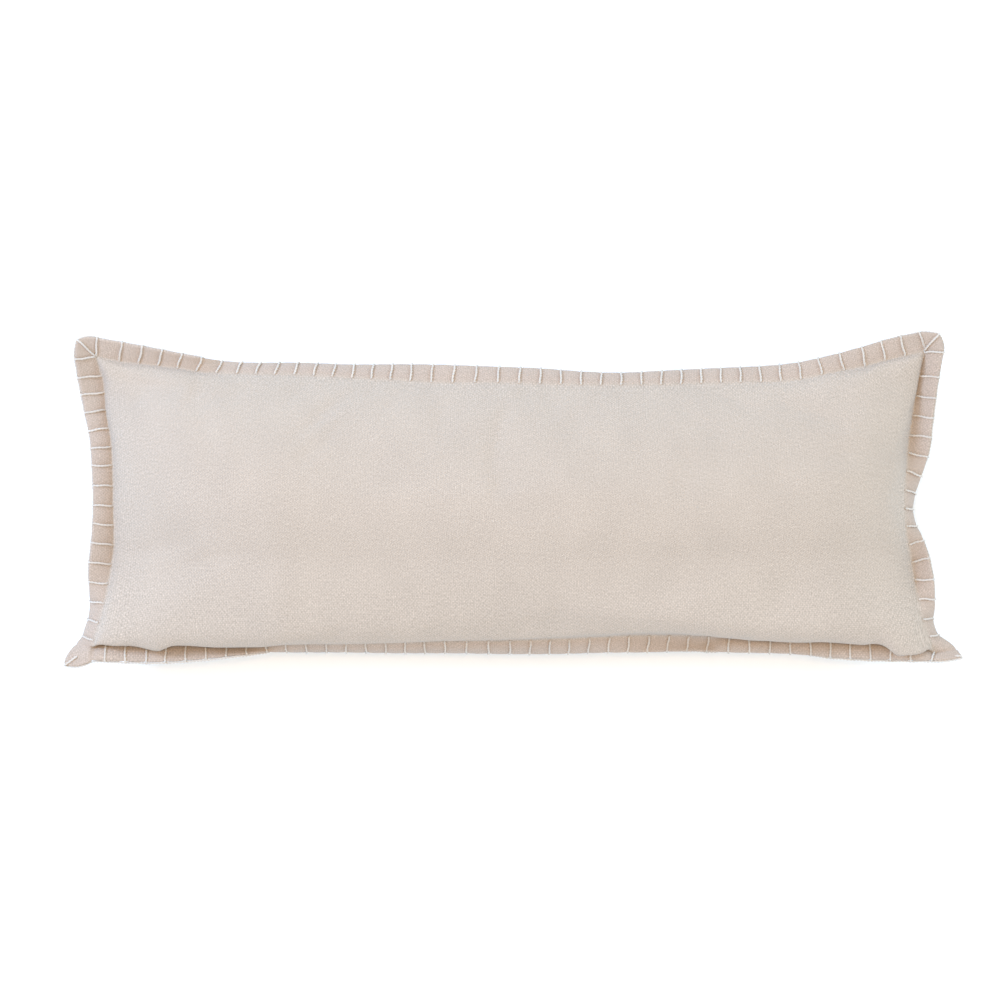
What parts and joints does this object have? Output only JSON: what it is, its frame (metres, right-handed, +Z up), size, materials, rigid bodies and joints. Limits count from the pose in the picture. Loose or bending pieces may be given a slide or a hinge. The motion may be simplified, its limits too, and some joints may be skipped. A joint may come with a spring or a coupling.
{
  "type": "lumbar pillow",
  "caption": "Long stuffed cotton lumbar pillow with a flat flange all round, edged in thick yarn with a hand-sewn blanket stitch.",
  "frame": {"origin": "centre of the bounding box, on the surface the pillow lies on", "axes": "+Z up out of the front panel, +X along the pillow to the right of its face, +Y towards its upper long side"},
  "size_m": [0.9128, 0.3438, 0.1293],
  "materials": {
    "cotton_cloth": "cream slub cotton, plain matt weave",
    "cotton_yarn": "off-white twisted cotton yarn"
  },
  "bodies": {
    "root": {"pillow": "cotton_cloth", "edge_yarn": "cotton_yarn"}
  },
  "joints": []
}
